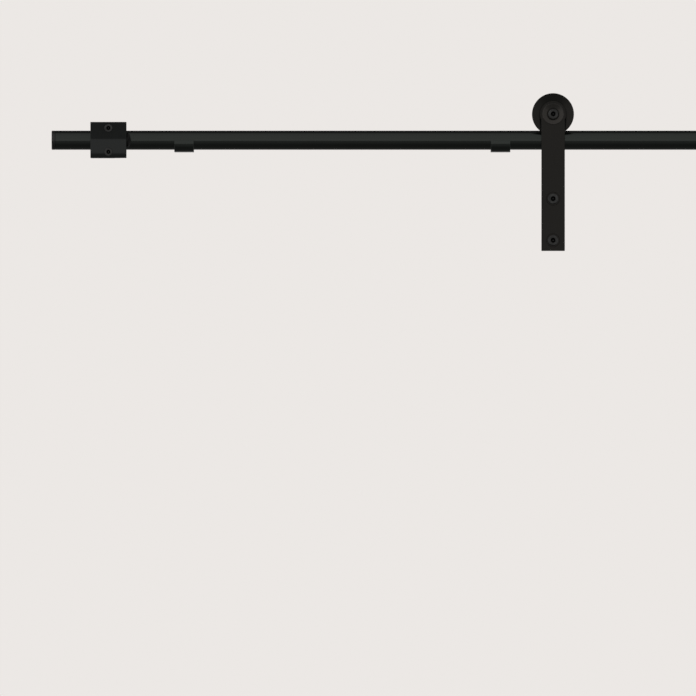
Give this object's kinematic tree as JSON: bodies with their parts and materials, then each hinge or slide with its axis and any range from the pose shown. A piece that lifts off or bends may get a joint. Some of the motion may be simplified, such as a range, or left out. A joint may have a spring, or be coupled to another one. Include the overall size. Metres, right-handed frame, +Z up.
{
  "type": "sliding barn door hardware",
  "caption": "Round wall-mounted rail on brackets with clamped end stops and strap hangers whose grooved wheels roll on top, for a sliding barn door.",
  "frame": {"origin": "wall face of the middle bracket, level with the rail's axis and midway along the rail", "axes": "+X along the rail to the right as seen from the room, +Y into the wall, +Z up"},
  "size_m": [2, 0.1131, 0.2061],
  "materials": {
    "powder_coat": "satin black powder coat",
    "black_oxide": "black oxide, slightly glossy",
    "black_plastic": "moulded, satin",
    "black_rubber": "matt",
    "zinc_plate": "bright zinc",
    "bearing_steel": "ground and polished"
  },
  "bodies": {
    "rail": {"rail_tube": "powder_coat", "end_cap_left": "black_plastic", "end_cap_right": "black_plastic", "bracket_1": "powder_coat", "wall_screw_1": "zinc_plate", "rail_screw_1": "black_oxide", "bracket_2": "powder_coat", "wall_screw_2": "zinc_plate", "rail_screw_2": "black_oxide", "bracket_3": "powder_coat", "wall_screw_3": "zinc_plate", "rail_screw_3": "black_oxide", "bracket_4": "powder_coat", "wall_screw_4": "zinc_plate", "rail_screw_4": "black_oxide", "bracket_5": "powder_coat", "wall_screw_5": "zinc_plate", "rail_screw_5": "black_oxide", "stop_left_front_half": "powder_coat", "stop_left_rear_half": "powder_coat", "stop_left_bumper": "black_rubber", "stop_left_screw_upper": "black_oxide", "stop_left_screw_lower": "black_oxide", "stop_right_front_half": "powder_coat", "stop_right_rear_half": "powder_coat", "stop_right_bumper": "black_rubber", "stop_right_screw_upper": "black_oxide", "stop_right_screw_lower": "black_oxide"},
    "hanger_left": {"strap_left": "powder_coat", "bearing_left_inner_race": "bearing_steel", "axle_spacer_left": "zinc_plate", "axle_washer_left": "powder_coat", "axle_bolt_left": "black_oxide", "axle_nut_left": "zinc_plate", "door_bolt_left_upper": "black_oxide", "sleeve_nut_left_upper": "black_oxide", "door_bolt_left_lower": "black_oxide", "sleeve_nut_left_lower": "black_oxide"},
    "wheel_left": {"wheel_left": "powder_coat", "bearing_left_outer_race": "bearing_steel", "bearing_left_ball_cage": "bearing_steel", "circlip_left": "black_oxide"},
    "hanger_right": {"strap_right": "powder_coat", "bearing_right_inner_race": "bearing_steel", "axle_spacer_right": "zinc_plate", "axle_washer_right": "powder_coat", "axle_bolt_right": "black_oxide", "axle_nut_right": "zinc_plate", "door_bolt_right_upper": "black_oxide", "sleeve_nut_right_upper": "black_oxide", "door_bolt_right_lower": "black_oxide", "sleeve_nut_right_lower": "black_oxide"},
    "wheel_right": {"wheel_right": "powder_coat", "bearing_right_outer_race": "bearing_steel", "bearing_right_ball_cage": "bearing_steel", "circlip_right": "black_oxide"}
  },
  "joints": [
    {"name": "hanger_left_slide", "type": "slide", "parent": "rail", "child": "hanger_left", "axis": [1, 0, 0], "range_m": [-0.5359, 0.6005]},
    {"name": "hanger_right_slide", "type": "slide", "parent": "rail", "child": "hanger_right", "axis": [1, 0, 0], "range_m": [-0.5359, 0.6005]},
    {"name": "wheel_left_spin", "type": "hinge", "parent": "hanger_left", "child": "wheel_left", "pos_m": [-0.345, -0.038, 0.034], "axis": [0, 1, 0], "continuous": true},
    {"name": "wheel_right_spin", "type": "hinge", "parent": "hanger_right", "child": "wheel_right", "pos_m": [0.2804, -0.038, 0.034], "axis": [0, 1, 0], "continuous": true}
  ],
  "couplings": [
    {"joint": "hanger_right_slide", "follows": "hanger_left_slide", "ratio": 1},
    {"joint": "wheel_left_spin", "follows": "hanger_left_slide", "rad_per_m": 46.512},
    {"joint": "wheel_right_spin", "follows": "hanger_left_slide", "rad_per_m": 46.512}
  ]
}
